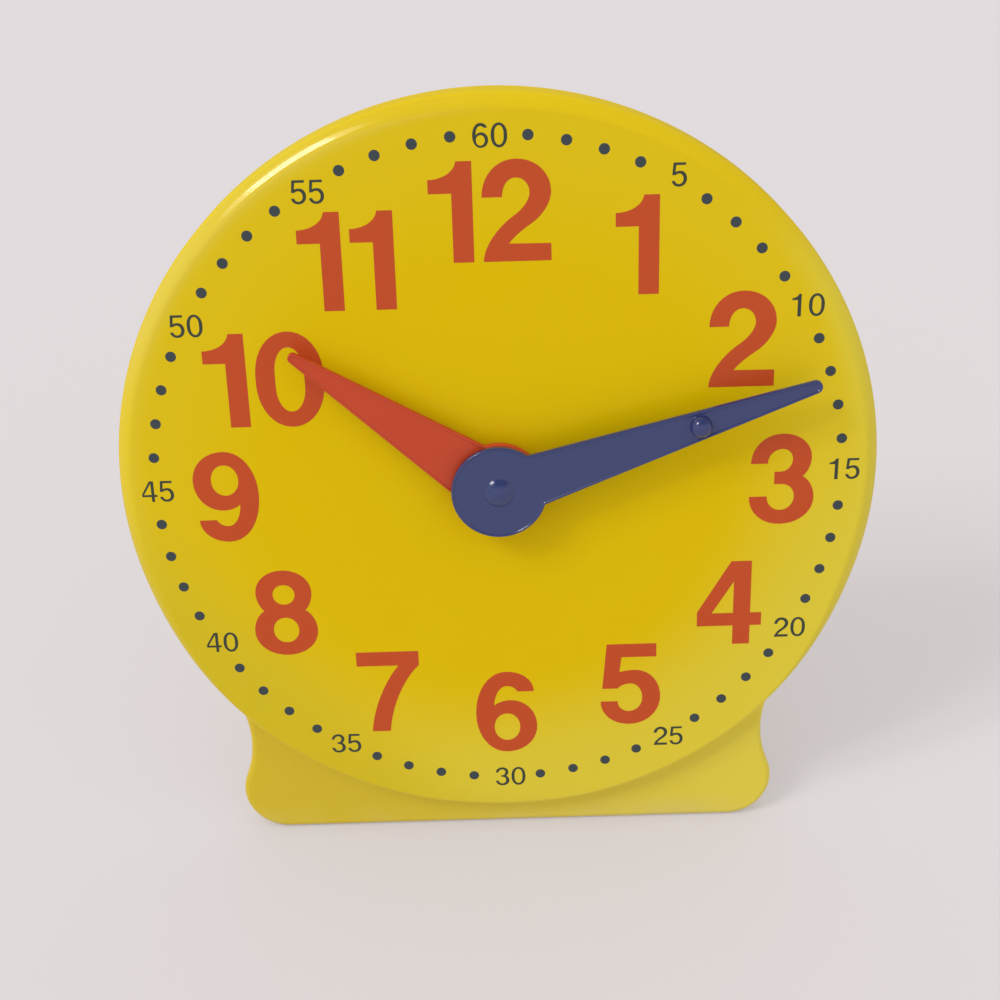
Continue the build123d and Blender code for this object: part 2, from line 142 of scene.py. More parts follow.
table_material, table_tree, table_shader = node_material("pale_table")
feed(table_tree, table_shader, {
    "Base Color": table_colour, "Roughness": table_roughness, "Specular IOR Level": table_specular,
})
table_glow = add_node(table_tree, "ShaderNodeEmission", {"Color": table_colour})
table_mix = add_node(table_tree, "ShaderNodeMixShader", {
    "Fac": math_node(table_tree, "MULTIPLY", seen_or_mirrored(table_tree), table_evenness),
    1: table_shader.outputs["BSDF"],
    2: table_glow.outputs["Emission"],
})
feed(table_tree, table_tree.nodes["Material Output"], {"Surface": table_mix.outputs["Shader"]})

table_mesh = bpy.data.meshes.new("table_top")
table_corners = [(x * table_reach, y * table_reach, -table_drop) for x, y in table_quarters]
table_mesh.from_pydata(table_corners, [], [(0, 1, 2, 3)])
table_mesh.materials.append(table_material)
table_top = bpy.data.objects.new("table_top", table_mesh)
bpy.context.scene.collection.objects.link(table_top)

room = bpy.data.worlds.new("room")
room.use_nodes = True
bpy.context.scene.world = room
room_tree = room.node_tree
room_light = room_tree.nodes["Background"]
feed(room_tree, room_light, {"Color": room_colour, "Strength": room_strength})
room_direction = add_node(room_tree, "ShaderNodeTexCoord", {}).outputs["Generated"]
room_height = add_node(room_tree, "ShaderNodeSeparateXYZ", {"Vector": room_direction}).outputs["Z"]
room_dimming = eased(room_tree, room_height, wall_top, ceiling_edge, wall_strength, ceiling_strength)
room_backdrop = add_node(room_tree, "ShaderNodeBackground", {
    "Color": room_colour, "Strength": room_dimming,
})
room_mix = add_node(room_tree, "ShaderNodeMixShader", {
    "Fac": seen_or_mirrored(room_tree),
    1: room_light.outputs["Background"],
    2: room_backdrop.outputs["Background"],
})
feed(room_tree, room_tree.nodes["World Output"], {"Surface": room_mix.outputs["Shader"]})

window_lights = [("window", window_turn, window_height, window_spread, window_strength)]
for column in pane_columns:
    for row in pane_rows:
        turn = window_turn + column * pane_column_step
        height = window_height + row * pane_row_step
        window_lights.append(("pane", turn, height, pane_spread, pane_strength))
for light_name, turn, height, spread, strength in window_lights:
    level = math.cos(height)
    pane_direction = Vector((level * math.cos(turn), level * math.sin(turn), math.sin(height)))
    pane_way = dial_turn.to_3x3() @ pane_direction
    light_data = bpy.data.lights.new(light_name, "SUN")
    light_data.angle = spread
    light_data.energy = strength
    light_data.color = window_colour
    light = bpy.data.objects.new(light_name, light_data)
    bpy.context.scene.collection.objects.link(light)
    light.location = dial_centre + pane_way
    light.rotation_mode = "QUATERNION"
    light.rotation_quaternion = (-pane_way).to_track_quat("-Z", "Y")


# Front shell. Dial, rim and foot are one injection moulding in glossy yellow polystyrene, open at the back,
# with a rounded rim that tightens to a crisp edge above the foot, which is set back and led in by a cove.
mm = 0.001
dial_radius = 169.98 * mm
foot_half_width = 129.5 * mm
foot_drop = 184.5 * mm
foot_corner = 21 * mm
neck_radius = 52 * mm
neck_bite = 0.05 * mm
shell_wall = 2.5 * mm
sole_wall = 3 * mm
rim_round = 7 * mm
rim_arcs = ((5, 0, 28), (14, 28, 52), (4, 52, 90))
low_rim_round = 1.5 * mm
low_rim_from = -0.25
low_rim_to = -0.72
plumb_below = 164.2 * mm
foot_round = 3 * mm
foot_setback = 8 * mm
case_depth = 20 * mm
face_border = 2 * mm
step_cove = 5 * mm
cut_margin = 1 * mm
rim_steps = 288
round_steps = 10
golden_yellow = (0.680, 0.466, 0.0005, 1)
lemon_yellow = (0.680, 0.492, 0.010, 1)
# Painted sheen: a paler yellow for the band round the rim, standing in for the reflection of bright
# surroundings.
sheen_yellow = (0.690, 0.530, 0.030, 1)
# Painted shade and painted light: the foot is darker at its left end and lighter at its right end.
foot_shaded_yellow = (0.590, 0.435, 0.026, 1)
foot_lit_yellow = (0.685, 0.570, 0.066, 1)
# Painted light: a still paler yellow towards the lower right of the rim and dial, where more light falls.
lower_right_light_yellow = (0.672, 0.553, 0.050, 1)
# Painted shade: a darker yellow towards the lower left, where less light falls.
painted_shade_yellow = (0.600, 0.460, 0.020, 1)
# Painted light: a lighter yellow in the step between the disc and the foot, which lifts the shade there.
step_light_yellow = (0.800, 0.650, 0.075, 1)
dusty_yellow = (0.640, 0.520, 0.120, 1)
yellow_glint = (1.0, 0.9, 0.25, 1)
rim_coat_roughness = 0.1
ring_ramps = {
    "off_middle": (95 * mm, 155 * mm),
    "near_rim": (154 * mm, 167 * mm),
    "inside_foot": (171 * mm, 170.2 * mm),
    "on_foot": (170.2 * mm, 172 * mm),
    "past_rim": (168.8 * mm, 169.6 * mm),
    "before_foot": (178 * mm, 171 * mm),
    "on_round": (160 * mm, 165 * mm),
    "before_wall": (169.2 * mm, 168.6 * mm),
    "on_foot_face": (173 * mm, 177 * mm),
}
side_ramps = {
    "lower_right": ((0.5, -0.87, 0), 0, 130 * mm),
    "right_rim": ((0.8, -0.6, 0), -20 * mm, 100 * mm),
    "below_top": ((0.26, 0.97, 0), 152 * mm, 118 * mm),
    # Painted shade: ramp towards the lower left for the darker tone.
    "painted_shade_corner": ((-0.71, -0.7, 0), 110 * mm, 160 * mm),
    "low_half": ((0, 1, 0), 60 * mm, -60 * mm),
    "down_wall": ((0, 0, -1), 3.4 * mm, 4.6 * mm),
    "along_foot": ((1, 0, 0), -110 * mm, 110 * mm),
    "above_foot": ((0, -1, 0), 100 * mm, 125 * mm),
    "along_step": ((1, 0, 0), -200 * mm, 60 * mm),
    "window_side": ((-0.6, 0.8, 0), 120 * mm, 155 * mm),
}
# Share of the painted light on the lower right of the dial.
pale_share = 0.9
cloud_share = 0.3
scuff_height = 16 * mm
scuff_cloud = (0.35, 0.75)
scuff_dulling = 0.2
wall_dulling = 0.65
foot_polish = 0.25


def arc(centre, radius, start, end, steps):
    """Points on a circle between two angles, ends included."""
    angles = [start + (end - start) * step / steps for step in range(steps + 1)]
    return [(centre[0] + radius * math.cos(a), centre[1] + radius * math.sin(a)) for a in angles]


def foot_outline(inset):
    """Right and left sides of the foot, drawn in by inset, with the top inside the disc."""
    corner = (foot_half_width - foot_corner, foot_corner - foot_drop)
    to_dial = dial_radius + neck_radius - neck_bite
    to_corner = foot_corner + neck_radius
    span = math.hypot(*corner)
    along = (to_dial**2 - to_corner**2 + span**2) / (2 * span)
    across = math.sqrt(to_dial**2 - along**2)
    neck_x = (along * corner[0] - across * corner[1]) / span
    neck_y = (along * corner[1] + across * corner[0]) / span
    to_top = math.atan2(-neck_y, -neck_x) % (2 * math.pi)
    to_low = math.atan2(corner[1] - neck_y, corner[0] - neck_x) % (2 * math.pi)
    sweep = arc((neck_x, neck_y), neck_radius + inset, to_top, to_low, steps=28)
    turn = arc(corner, foot_corner - inset, to_low - math.pi, -math.pi / 2, steps=18)
    right = sweep + turn[1:]
    return right + [(-x, y) for x, y in reversed(right)]


def new_mesh(name, bm):
    """Mesh data from a bmesh, with its faces turned outwards."""
    bmesh.ops.recalc_face_normals(bm, faces=bm.faces)
    mesh = bpy.data.meshes.new(name)
    bm.to_mesh(mesh)
    bm.free()
    return mesh


def loft(name, loops):
    """Closed mesh through loops of as many points each, with a flat cap at both ends."""
    bm = bmesh.new()
    rows = [[bm.verts.new(point) for point in loop] for loop in loops]
    for row, following in zip(rows, rows[1:]):
        for i in range(len(row)):
            j = (i + 1) % len(row)
            bm.faces.new((row[i], row[j], following[j], following[i]))
    bm.faces.new(rows[0])
    bm.faces.new(rows[-1])
    return new_mesh(name, bm)


def lathe(name, profile, steps):
    """Closed mesh turned from a profile of radius and height."""
    circles = [[(x, y, z) for x, y in arc((0, 0), r, 0, 2 * math.pi, steps)[:-1]] for r, z in profile]
    return loft(name, circles)


def rounded(radius, steps):
    """Way along and down a quarter round, from flat to upright."""
    quarter = [math.pi / 2 * step / steps for step in range(steps + 1)]
    return [(radius * math.sin(a), radius * (1 - math.cos(a))) for a in quarter]


def evaluated(mesh, set_up):
    """Mesh with the modifiers that set_up puts on it applied."""
    work = bpy.data.objects.new("work", mesh)
    bpy.context.scene.collection.objects.link(work)
    set_up(work)
    graph = bpy.context.evaluated_depsgraph_get()
    result = bpy.data.meshes.new_from_object(work.evaluated_get(graph))
    bpy.data.objects.remove(work)
    return result


def combined(mesh, tool_mesh, operation):
    """Exact Boolean of two closed meshes."""
    tool = bpy.data.objects.new("tool", tool_mesh)
    bpy.context.scene.collection.objects.link(tool)

    def set_up(work):
        boolean = work.modifiers.new("boolean", "BOOLEAN")
        boolean.operation = operation
        boolean.solver = "EXACT"
        boolean.object = tool

    result = evaluated(mesh, set_up)
    bpy.data.objects.remove(tool)
    return result


def above(mesh, height):
    """What stands above a level plane, with the cut closed."""
    bm = bmesh.new()
    bm.from_mesh(mesh)
    everything = bm.verts[:] + bm.edges[:] + bm.faces[:]
    cut = bmesh.ops.bisect_plane(
        bm, geom=everything, plane_co=(0, 0, height), plane_no=(0, 0, 1), clear_inner=True
    )
    rim = [part for part in cut["geom_cut"] if isinstance(part, bmesh.types.BMEdge)]
    bmesh.ops.edgeloop_fill(bm, edges=rim)
    return new_mesh(mesh.name, bm)


def shaded(mesh, sharp_angle):
    """Smooth shading that keeps flat faces flat and edges over an angle sharp."""
    mesh.shade_smooth()
    mesh.set_sharp_from_angle(angle=math.radians(sharp_angle))

    def set_up(work):
        normals = work.modifiers.new("normals", "WEIGHTED_NORMAL")
        normals.keep_sharp = True
        normals.weight = 100

    return evaluated(mesh, set_up)


def step_fillet(foot_front):
    """Hollow round that leads from the disc's side down to the face of the foot."""
    outer = dial_radius + step_cove
    below = -foot_front - cut_margin
    profile = [(outer, below)]
    profile += [(outer - x, z - foot_front) for x, z in rounded(step_cove, round_steps)]
    flare = lathe("flare", profile, rim_steps)
    outline = foot_outline(foot_round)
    column = loft("column", [[(x, y, z) for x, y in outline] for z in (below, cut_margin)])
    return combined(flare, column, "INTERSECT")


def rim_profile():
    """Round of the rim as shares of its size: three arcs, of which the middle one is flatter."""
    profile = [(0, 0)]
    for size, start, end in rim_arcs:
        out, down = profile[-1]
        first = math.radians(start)
        for step in range(1, round_steps + 1):
            turn = math.radians(start + (end - start) * step / round_steps)
            further = size * (math.sin(turn) - math.sin(first))
            deeper = size * (math.cos(first) - math.cos(turn))
            profile.append((out + further, down + deeper))
    whole = profile[-1][0]
    return [(x / whole, z / whole) for x, z in profile]


def disc_block(radius, front, back, edge, low_edge):
    """Filled disc whose rim's round tightens on the way down, where its face is eased back to plumb."""
    ring = arc((0, 0), 1, 0, 2 * math.pi, rim_steps)[:-1]
    low_shares = [min(max((y - low_rim_from) / (low_rim_to - low_rim_from), 0), 1) for x, y in ring]
    edges = [edge + (low_edge - edge) * share**2 * (3 - 2 * share) for share in low_shares]
    lows = [plumb_below + y * (radius - here) for (x, y), here in zip(ring, edges)]
    fronts = [min(low * math.tan(lean_back), 0) - front for low in lows]
    face = radius - edge - face_border
    loops = [[(x * face, y * face, -front) for x, y in ring]]
    for out, down in rim_profile():
        reaches = [radius - here + here * out for here in edges]
        heights = [top - here * down for top, here in zip(fronts, edges)]
        loops.append([(x * reach, y * reach, z) for (x, y), reach, z in zip(ring, reaches, heights)])
    loops.append([(x * radius, y * radius, -back) for x, y in ring])
    return loft("disc", loops)


def shell_block(inset, dial_front, foot_front, back, dial_edge, low_edge, foot_edge, rise):
    """Disc and foot as one filled block, drawn in by inset and cut level with the table."""
    disc = disc_block(dial_radius - inset, dial_front, back, dial_edge, low_edge)
    foot_loops = []
    for x, z in rounded(foot_edge, round_steps):
        outline = foot_outline(inset + foot_edge - x)
        foot_loops.append([(px, py, -foot_front - z) for px, py in outline])
    foot_loops.append([(px, py, -back) for px, py in foot_outline(inset)])
    foot = loft("foot", foot_loops)
    if inset == 0:
        foot = combined(foot, step_fillet(foot_front), "UNION")
    block = combined(disc, foot, "UNION")
    block.transform(dial_place)
    return above(block, rise)


inner_rim_round = rim_round - shell_wall
outer_block = shell_block(0, 0, foot_setback, case_depth, rim_round, low_rim_round, foot_round, 0)
inner_block = shell_block(
    shell_wall, shell_wall, foot_setback + shell_wall, case_depth + shell_wall,
    inner_rim_round, inner_rim_round, foot_round - shell_wall, sole_wall,
)
shell_mesh = shaded(combined(outer_block, inner_block, "DIFFERENCE"), sharp_angle=38)

# Skin of a moulding, shared by every plastic piece: a faint orange peel from the tool's polish, finer
# grain, cloudy fingermarks and hair scratches from handling.
scratch_level = 0.68
scratch_depth = 0.5
cloud_middle = 0.5
relief_strength = 0.25
relief_depth = 0.1 * mm
mix_share = 0
mix_first = 6
mix_second = 7
mix_colour = 2

moulded_skin = bpy.data.node_groups.new("moulded_skin", "ShaderNodeTree")
for socket_name, socket_value in (("Gloss", 0.25), ("Peel", 0.5), ("Grain", 0.2), ("Handling", 0.1)):
    socket = moulded_skin.interface.new_socket(socket_name, in_out="INPUT", socket_type="NodeSocketFloat")
    socket.default_value = socket_value
for socket_name in ("Roughness", "Height", "Cloud"):
    moulded_skin.interface.new_socket(socket_name, in_out="OUTPUT", socket_type="NodeSocketFloat")
skin_in = add_node(moulded_skin, "NodeGroupInput", {}).outputs
skin_place = add_node(moulded_skin, "ShaderNodeTexCoord", {}).outputs["Object"]


def skin_noise(scale, detail, squeeze=(1, 1, 1)):
    """Noise over the piece's own coordinates, squeezed along an axis for scratches."""
    mapping = add_node(moulded_skin, "ShaderNodeMapping", {"Vector": skin_place, "Scale": squeeze})
    noise_inputs = {"Vector": mapping.outputs["Vector"], "Scale": scale, "Detail": detail}
    return add_node(moulded_skin, "ShaderNodeTexNoise", noise_inputs).outputs["Fac"]


def skin_math(operation, first, second):
    """Result of an operation in the skin's group."""
    return math_node(moulded_skin, operation, first, second)


peel_height = skin_math("MULTIPLY", skin_noise(scale=420, detail=2), skin_in["Peel"])
grain_height = skin_math("MULTIPLY", skin_noise(scale=3200, detail=3), skin_in["Grain"])
cloud_noise = skin_noise(scale=19, detail=4)
scratch_noise = skin_noise(scale=140, detail=6, squeeze=(1, 9, 14))
scratches = skin_math("MULTIPLY", skin_math("GREATER_THAN", scratch_noise, scratch_level), scratch_depth)
handled = skin_math("ADD", skin_math("SUBTRACT", cloud_noise, cloud_middle), scratches)
handled_gloss = skin_math("MULTIPLY", handled, skin_in["Handling"])
add_node(moulded_skin, "NodeGroupOutput", {
    "Roughness": skin_math("ADD", skin_in["Gloss"], handled_gloss),
    "Height": skin_math("ADD", peel_height, grain_height),
    "Cloud": cloud_noise,
})


def toned(tree, share, first, second):
    """Colour between two tones, either of which may be a socket."""
    tones = {mix_share: share, mix_first: first, mix_second: second}
    return add_node(tree, "ShaderNodeMix", tones, data_type="RGBA").outputs[mix_colour]


def moulded(name, colour, cloud_colour, gloss, peel=0.5, grain=0.2, handling=0.25, specular=0.4, tint=None):
    """Moulded plastic that drifts between two near tones, with the shared skin on it."""
    material, tree, shader = node_material(name)
    skin_values = {"Gloss": gloss, "Peel": peel, "Grain": grain, "Handling": handling}
    skin = add_node(tree, "ShaderNodeGroup", skin_values, node_tree=moulded_skin).outputs
    relief = add_node(tree, "ShaderNodeBump", {
        "Strength": relief_strength, "Distance": relief_depth, "Height": skin["Height"],
    })
    feed(tree, shader, {
        "Base Color": toned(tree, skin["Cloud"], colour, cloud_colour),
        "Roughness": skin["Roughness"],
        "Specular IOR Level": specular,
        "Normal": relief.outputs["Normal"],
    })
    if tint:
        feed(tree, shader, {"Specular Tint": tint})
    return material


def add_piece(name, mesh, material, body, slot, *stands_for):
    """Finished mesh as a piece that rides on a CAD body and stands for CAD nodes."""
    mesh.name = name
    mesh.materials.clear()
    mesh.materials.append(material)
    piece = bpy.data.objects.new(name, mesh)
    bpy.context.scene.collection.objects.link(piece)
    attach(piece, body)
    if stands_for:
        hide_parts(*stands_for)
    return piece


shell_yellow = moulded(
    "shell_yellow", golden_yellow, lemon_yellow, gloss=0.17, handling=0.1, specular=0.16, tint=yellow_glint
)
shell_tree = shell_yellow.node_tree
shell_skin = shell_tree.nodes["Group"].outputs
cloud = shell_skin["Cloud"]
shell_place = add_node(shell_tree, "ShaderNodeTexCoord", {}).outputs["Object"]
above_table = add_node(shell_tree, "ShaderNodeSeparateXYZ", {"Vector": shell_place}).outputs["Z"]
dial_inputs = {"Vector": shell_place, "Location": dial_centre, "Rotation": dial_turn.to_euler()}
on_dial = add_node(shell_tree, "ShaderNodeMapping", dial_inputs, vector_type="TEXTURE").outputs["Vector"]


def dial_vector(operation, *vectors):
    """Vector operation in the shell's material."""
    inputs = dict(enumerate(vectors))
    return add_node(shell_tree, "ShaderNodeVectorMath", inputs, operation=operation).outputs


def product(share, *others):
    """Shares in the shell's material, multiplied."""
    for other in others:
        share = math_node(shell_tree, "MULTIPLY", share, other)
    return share


from_axis = dial_vector("LENGTH", dial_vector("MULTIPLY", on_dial, (1, 1, 0))["Vector"])["Value"]
ring = {name: eased(shell_tree, from_axis, low, high) for name, (low, high) in ring_ramps.items()}
side = {}
for name, (direction, low, high) in side_ramps.items():
    side[name] = eased(shell_tree, dial_vector("DOT_PRODUCT", on_dial, direction)["Value"], low, high)
side_wall = product(side["down_wall"], ring["inside_foot"])
scuffed = product(eased(shell_tree, above_table, scuff_height, 0), eased(shell_tree, cloud, *scuff_cloud))
# Painted sheen and painted light: the rim's pale band, going paler still towards the lower right.
painted_sheen_tone = toned(shell_tree, side["right_rim"], sheen_yellow, lower_right_light_yellow)
# Painted shade and painted light: the foot goes from darker on the left to lighter on the right.
painted_foot_light = toned(shell_tree, side["along_foot"], foot_shaded_yellow, foot_lit_yellow)
# Painted light: the step below the disc's edge is painted lighter, more towards the right.
step_light_share = product(ring["past_rim"], ring["before_foot"], side["above_foot"], side["along_step"])
# Painted sheen: the dial goes from golden in the middle to a paler lemon further out.
shell_colour = toned(shell_tree, ring["off_middle"], golden_yellow, lemon_yellow)
for share, tone in (
    # Painted light: the outer part of the dial at the lower right is painted paler.
    (product(side["lower_right"], pale_share, ring["off_middle"]), painted_sheen_tone),
    # Painted sheen: a pale band near the rim, left out near the top, where the rim is painted darker.
    (product(ring["near_rim"], side["below_top"]), painted_sheen_tone),
    # Painted shade: the lower left of the dial and rim is painted darker.
    (side["painted_shade_corner"], painted_shade_yellow),
    # Painted shade: the side wall of the lower half is painted a deeper golden than the face.
    (product(side_wall, side["low_half"]), golden_yellow),
    (ring["on_foot"], painted_foot_light),
    (step_light_share, step_light_yellow),
    (product(cloud, cloud_share), lemon_yellow),
    (scuffed, dusty_yellow),
):
    shell_colour = toned(shell_tree, share, shell_colour, tone)
worn_gloss = math_node(shell_tree, "ADD", product(side_wall, wall_dulling), product(scuffed, scuff_dulling))
rim_polish = product(ring["on_round"], ring["before_wall"], side["window_side"])
feed(shell_tree, shell_tree.nodes["Principled BSDF"], {
    "Base Color": shell_colour,
    "Roughness": math_node(shell_tree, "ADD", shell_skin["Roughness"], worn_gloss),
    "Coat Weight": math_node(shell_tree, "ADD", rim_polish, product(ring["on_foot_face"], foot_polish)),
    "Coat Roughness": rim_coat_roughness,
})
add_piece("dial_shell", shell_mesh, shell_yellow, "case", "yellow_plastic", "front_shell")


# Hour numerals. They are printed on the dial in one pass of red ink, upright, in bold figures of even
# weight. Each figure is drawn on a height of 100, with x to the right and y up: L is a straight line, V a
# quarter round that leaves upright, H one that leaves level, and C one whose tangents meet at a point.
figure_outlines = {
    "0": [
        [("M", 0, 46), ("L", 0, 54), ("V", 35, 101), ("H", 70, 54), ("L", 70, 46), ("V", 35, -1),
         ("H", 0, 46)],
        [("M", 20, 42), ("L", 20, 58), ("V", 35, 84.4), ("H", 50, 58), ("L", 50, 42), ("V", 35, 15.6),
         ("H", 20, 42)],
    ],
    "1": [
        [("M", 22.8, 0), ("L", 43.4, 0), ("L", 43.4, 100), ("L", 27.9, 100), ("C", 26, 82.5, 0, 82.5),
         ("L", 0, 68.8), ("L", 22.8, 68.8), ("L", 22.8, 0)],
    ],
    "2": [
        [("M", 0.4, 0), ("L", 67.7, 0), ("L", 67.7, 17.4), ("L", 26, 17.8), ("C", 31.4, 26.4, 48.4, 37.4),
         ("C", 68.2, 50.4, 68.2, 68.6), ("V", 34.1, 101), ("H", 0, 64), ("L", 20.1, 64), ("V", 33.5, 82.8),
         ("H", 47.1, 67.8), ("C", 47.1, 56.5, 32, 46.2), ("C", 0.4, 24.7, 0.4, 0)],
    ],
    "3": [
        [("M", 1, 68), ("V", 33.6, 101), ("H", 64.7, 73.8), ("C", 64.7, 59.4, 55.9, 53),
         ("C", 68.5, 46.5, 68.5, 28.5), ("V", 33.6, -1), ("H", 0, 30.9), ("L", 18.9, 30.9),
         ("V", 33.4, 15.1), ("H", 47.6, 30.2), ("V", 34.2, 44.6), ("L", 26.1, 44.6), ("L", 26.1, 58.7),
         ("L", 32.1, 58.7), ("H", 44.9, 72.2), ("V", 34, 84), ("H", 18.8, 68), ("L", 1, 68)],
    ],
    "4": [
        [("M", 36, 100), ("L", 58, 100), ("L", 58, 38), ("L", 70.3, 38), ("L", 70.3, 22.6), ("L", 58, 22.6),
         ("L", 58, 0), ("L", 39.3, 0), ("L", 39.3, 22.6), ("L", 0, 22.6), ("L", 0, 39.4), ("L", 36, 100)],
        [("M", 39.3, 75.8), ("L", 39.3, 38), ("L", 16, 38), ("L", 39.3, 75.8)],
    ],
    "5": [
        [("M", 6.8, 100), ("L", 61.6, 100), ("L", 61.6, 83.7), ("L", 23.2, 83.7), ("L", 21, 65.2),
         ("C", 27.5, 67.5, 37.8, 67.5), ("H", 66.5, 33.6), ("V", 32.3, -1), ("H", 0, 28.5), ("L", 19, 28.5),
         ("V", 31.6, 15.6), ("H", 46.5, 32.4), ("V", 33, 50.6), ("C", 23, 50.6, 19.2, 44.6),
         ("L", 1.9, 44.6), ("L", 6.8, 100)],
    ],
    "6": [
        [("M", 65, 75.8), ("V", 34.6, 101), ("H", 0, 48), ("V", 34.2, -1), ("H", 68.1, 31.8),
         ("V", 38.3, 65), ("C", 26.5, 65, 20.6, 58.6), ("C", 21.4, 83, 35, 83), ("C", 44, 83, 46.6, 75.8),
         ("L", 65, 75.8)],
        [("M", 20.3, 31.2), ("V", 34.6, 48.2), ("H", 49, 31.2), ("V", 34.6, 14), ("H", 20.3, 31.2)],
    ],
    "7": [
        [("M", 0, 100), ("L", 68.8, 100), ("L", 68.8, 82.6), ("C", 37.8, 53.7, 33.5, 0), ("L", 13.2, 0),
         ("C", 16.5, 46.5, 46, 82.7), ("L", 0, 82.7), ("L", 0, 100)],
    ],
    "8": [
        [("M", 34.3, 101), ("H", 64.6, 74.2), ("C", 64.6, 60.2, 56.5, 53), ("C", 68.6, 46.8, 68.6, 28.6),
         ("V", 34.3, -1), ("H", 0, 28.6), ("C", 0, 46.8, 12.1, 53), ("C", 4, 60.2, 4, 74.2),
         ("V", 34.3, 101)],
        [("M", 22.4, 72), ("V", 34.3, 83.6), ("H", 46.2, 72), ("V", 34.3, 60.3), ("H", 22.4, 72)],
        [("M", 20.5, 29.4), ("V", 34.3, 44.4), ("H", 48.1, 29.4), ("V", 34.3, 14.5), ("H", 20.5, 29.4)],
    ],
}
figure_width = {
    "0": 70, "1": 43.4, "2": 68.2, "3": 68.5, "4": 70.3, "5": 66.5, "6": 68.1, "7": 68.8, "8": 68.6,
}
figure_height = 100
figure_gap = 9
round_pull = 0.57
figure_outlines["9"] = []
for outline in figure_outlines["6"]:
    turned_outline = []
    for stroke in outline:
        values = [(figure_width["6"], figure_height)[i % 2] - value for i, value in enumerate(stroke[1:])]
        turned_outline.append((stroke[0], *values))
    figure_outlines["9"].append(turned_outline)
figure_width["9"] = figure_width["6"]

hour_height = 42.5 * mm
hour_places = {
    "12": (-0.4, 121.2), "1": (61.3, 105.3), "2": (106.9, 62.7), "3": (126.7, -2.7),
    "4": (105.0, -63.6), "5": (59.4, -104.6), "6": (0.5, -117.9), "7": (-54.6, -105.1),
    "8": (-100.5, -62.2), "9": (-122.0, -3.7), "10": (-100.6, 50.5), "11": (-61.6, 101.8),
}
ink_depth = 0.05 * mm
figure_weld = 1e-7
red_ink_colour = (0.490, 0.060, 0.009, 1)
red_ink_worn = (0.520, 0.070, 0.012, 1)


def draw_figure(curve, figure, left, base, unit):
    """One figure's outlines as closed Bezier splines."""
    for outline in figure_outlines[figure]:
        points = [Vector((left + s[-2] * unit, base + s[-1] * unit, 0)) for s in outline]
        spline = curve.splines.new("BEZIER")
        spline.use_cyclic_u = True
        count = len(points) - 1
        spline.bezier_points.add(count - 1)
        for i in range(count):
            spline.bezier_points[i].co = points[i]
        for i in range(count):
            begin = points[i]
            end = points[i + 1]
            stroke = outline[i + 1]
            if stroke[0] == "V":
                meet = Vector((begin.x, end.y, 0))
            elif stroke[0] == "H":
                meet = Vector((end.x, begin.y, 0))
            elif stroke[0] == "C":
                meet = Vector((left + stroke[1] * unit, base + stroke[2] * unit, 0))
            else:
                meet = (begin + end) / 2
            spline.bezier_points[i].handle_right = begin.lerp(meet, round_pull)
            spline.bezier_points[(i + 1) % count].handle_left = end.lerp(meet, round_pull)


def draw_number(curve, number, centre, height, gap, gap_after_one):
    """A number's figures side by side, centred on a point of the dial."""
    unit = height / figure_height
    gaps = [gap_after_one if figure == "1" else gap for figure in number[:-1]] + [0]
    width = sum(figure_width[figure] for figure in number) + sum(gaps)
    left = centre[0] - width * unit / 2
    for figure, space in zip(number, gaps):
        draw_figure(curve, figure, left, centre[1] - height / 2, unit)
        left += (figure_width[figure] + space) * unit


def printed_curve(name, steps, weight):
    """Empty curve for figures, filled and as thick as ink, thinned or thickened by weight."""
    curve = bpy.data.curves.new(name, "CURVE")
    curve.dimensions = "2D"
    curve.fill_mode = "BOTH"
    curve.resolution_u = steps
    curve.extrude = ink_depth
    curve.offset = weight
    return curve


def printed_mesh(curve):
    """The figures of a curve as a mesh on the dial."""
    work = bpy.data.objects.new("work", curve)
    bpy.context.scene.collection.objects.link(work)
    graph = bpy.context.evaluated_depsgraph_get()
    mesh = bpy.data.meshes.new_from_object(work.evaluated_get(graph))
    bpy.data.objects.remove(work)
    bm = bmesh.new()
    bm.from_mesh(mesh)
    bmesh.ops.remove_doubles(bm, verts=bm.verts, dist=figure_weld)
    mesh = new_mesh(curve.name, bm)
    mesh.transform(dial_place)
    return mesh


def printed_ink(name, colour, worn_colour):
    """Pad-printing ink: an even film with a soft gloss, slightly thin in places."""
    return moulded(name, colour, worn_colour, gloss=0.38, peel=0.2, grain=0.5, handling=0.2, specular=0.25)


red_ink = printed_ink("red_ink", red_ink_colour, red_ink_worn)
hour_curve = printed_curve("hour_numerals", steps=10, weight=0)
for number, place in hour_places.items():
    draw_number(hour_curve, number, (place[0] * mm, place[1] * mm), hour_height, figure_gap, figure_gap)
add_piece("hour_numerals", printed_mesh(hour_curve), red_ink, "case", "red_ink")


# Minute numerals. They are printed in a second pass of dark ink on the ring of minutes, every five minutes,
# in the same figures at a regular weight.
minute_ring = 153.3 * mm
minute_height = 9.9 * mm
minute_thinning = 0.34 * mm
minute_shifts = {
    5: (1.8, 1.65), 10: (1.9, 0.6), 15: (1.2, 1.5), 20: (0.6, -0.2), 25: (1.0, -0.65), 30: (1.55, -0.2),
    35: (0, 0.3), 40: (1.9, 0.3), 45: (0.8, 0.05), 50: (0.7, -0.9), 55: (0.7, -1.15), 60: (0.35, -0.65),
}
minute_gap = 4
minute_gap_after_one = 25
minutes_in_turn = 60
dark_ink_colour = (0.036, 0.046, 0.030, 1)
dark_ink_worn = (0.042, 0.052, 0.036, 1)


def on_ring(minute, radius):
    """Point of the dial at a minute."""
    angle = 2 * math.pi * minute / minutes_in_turn
    return (radius * math.sin(angle), radius * math.cos(angle))


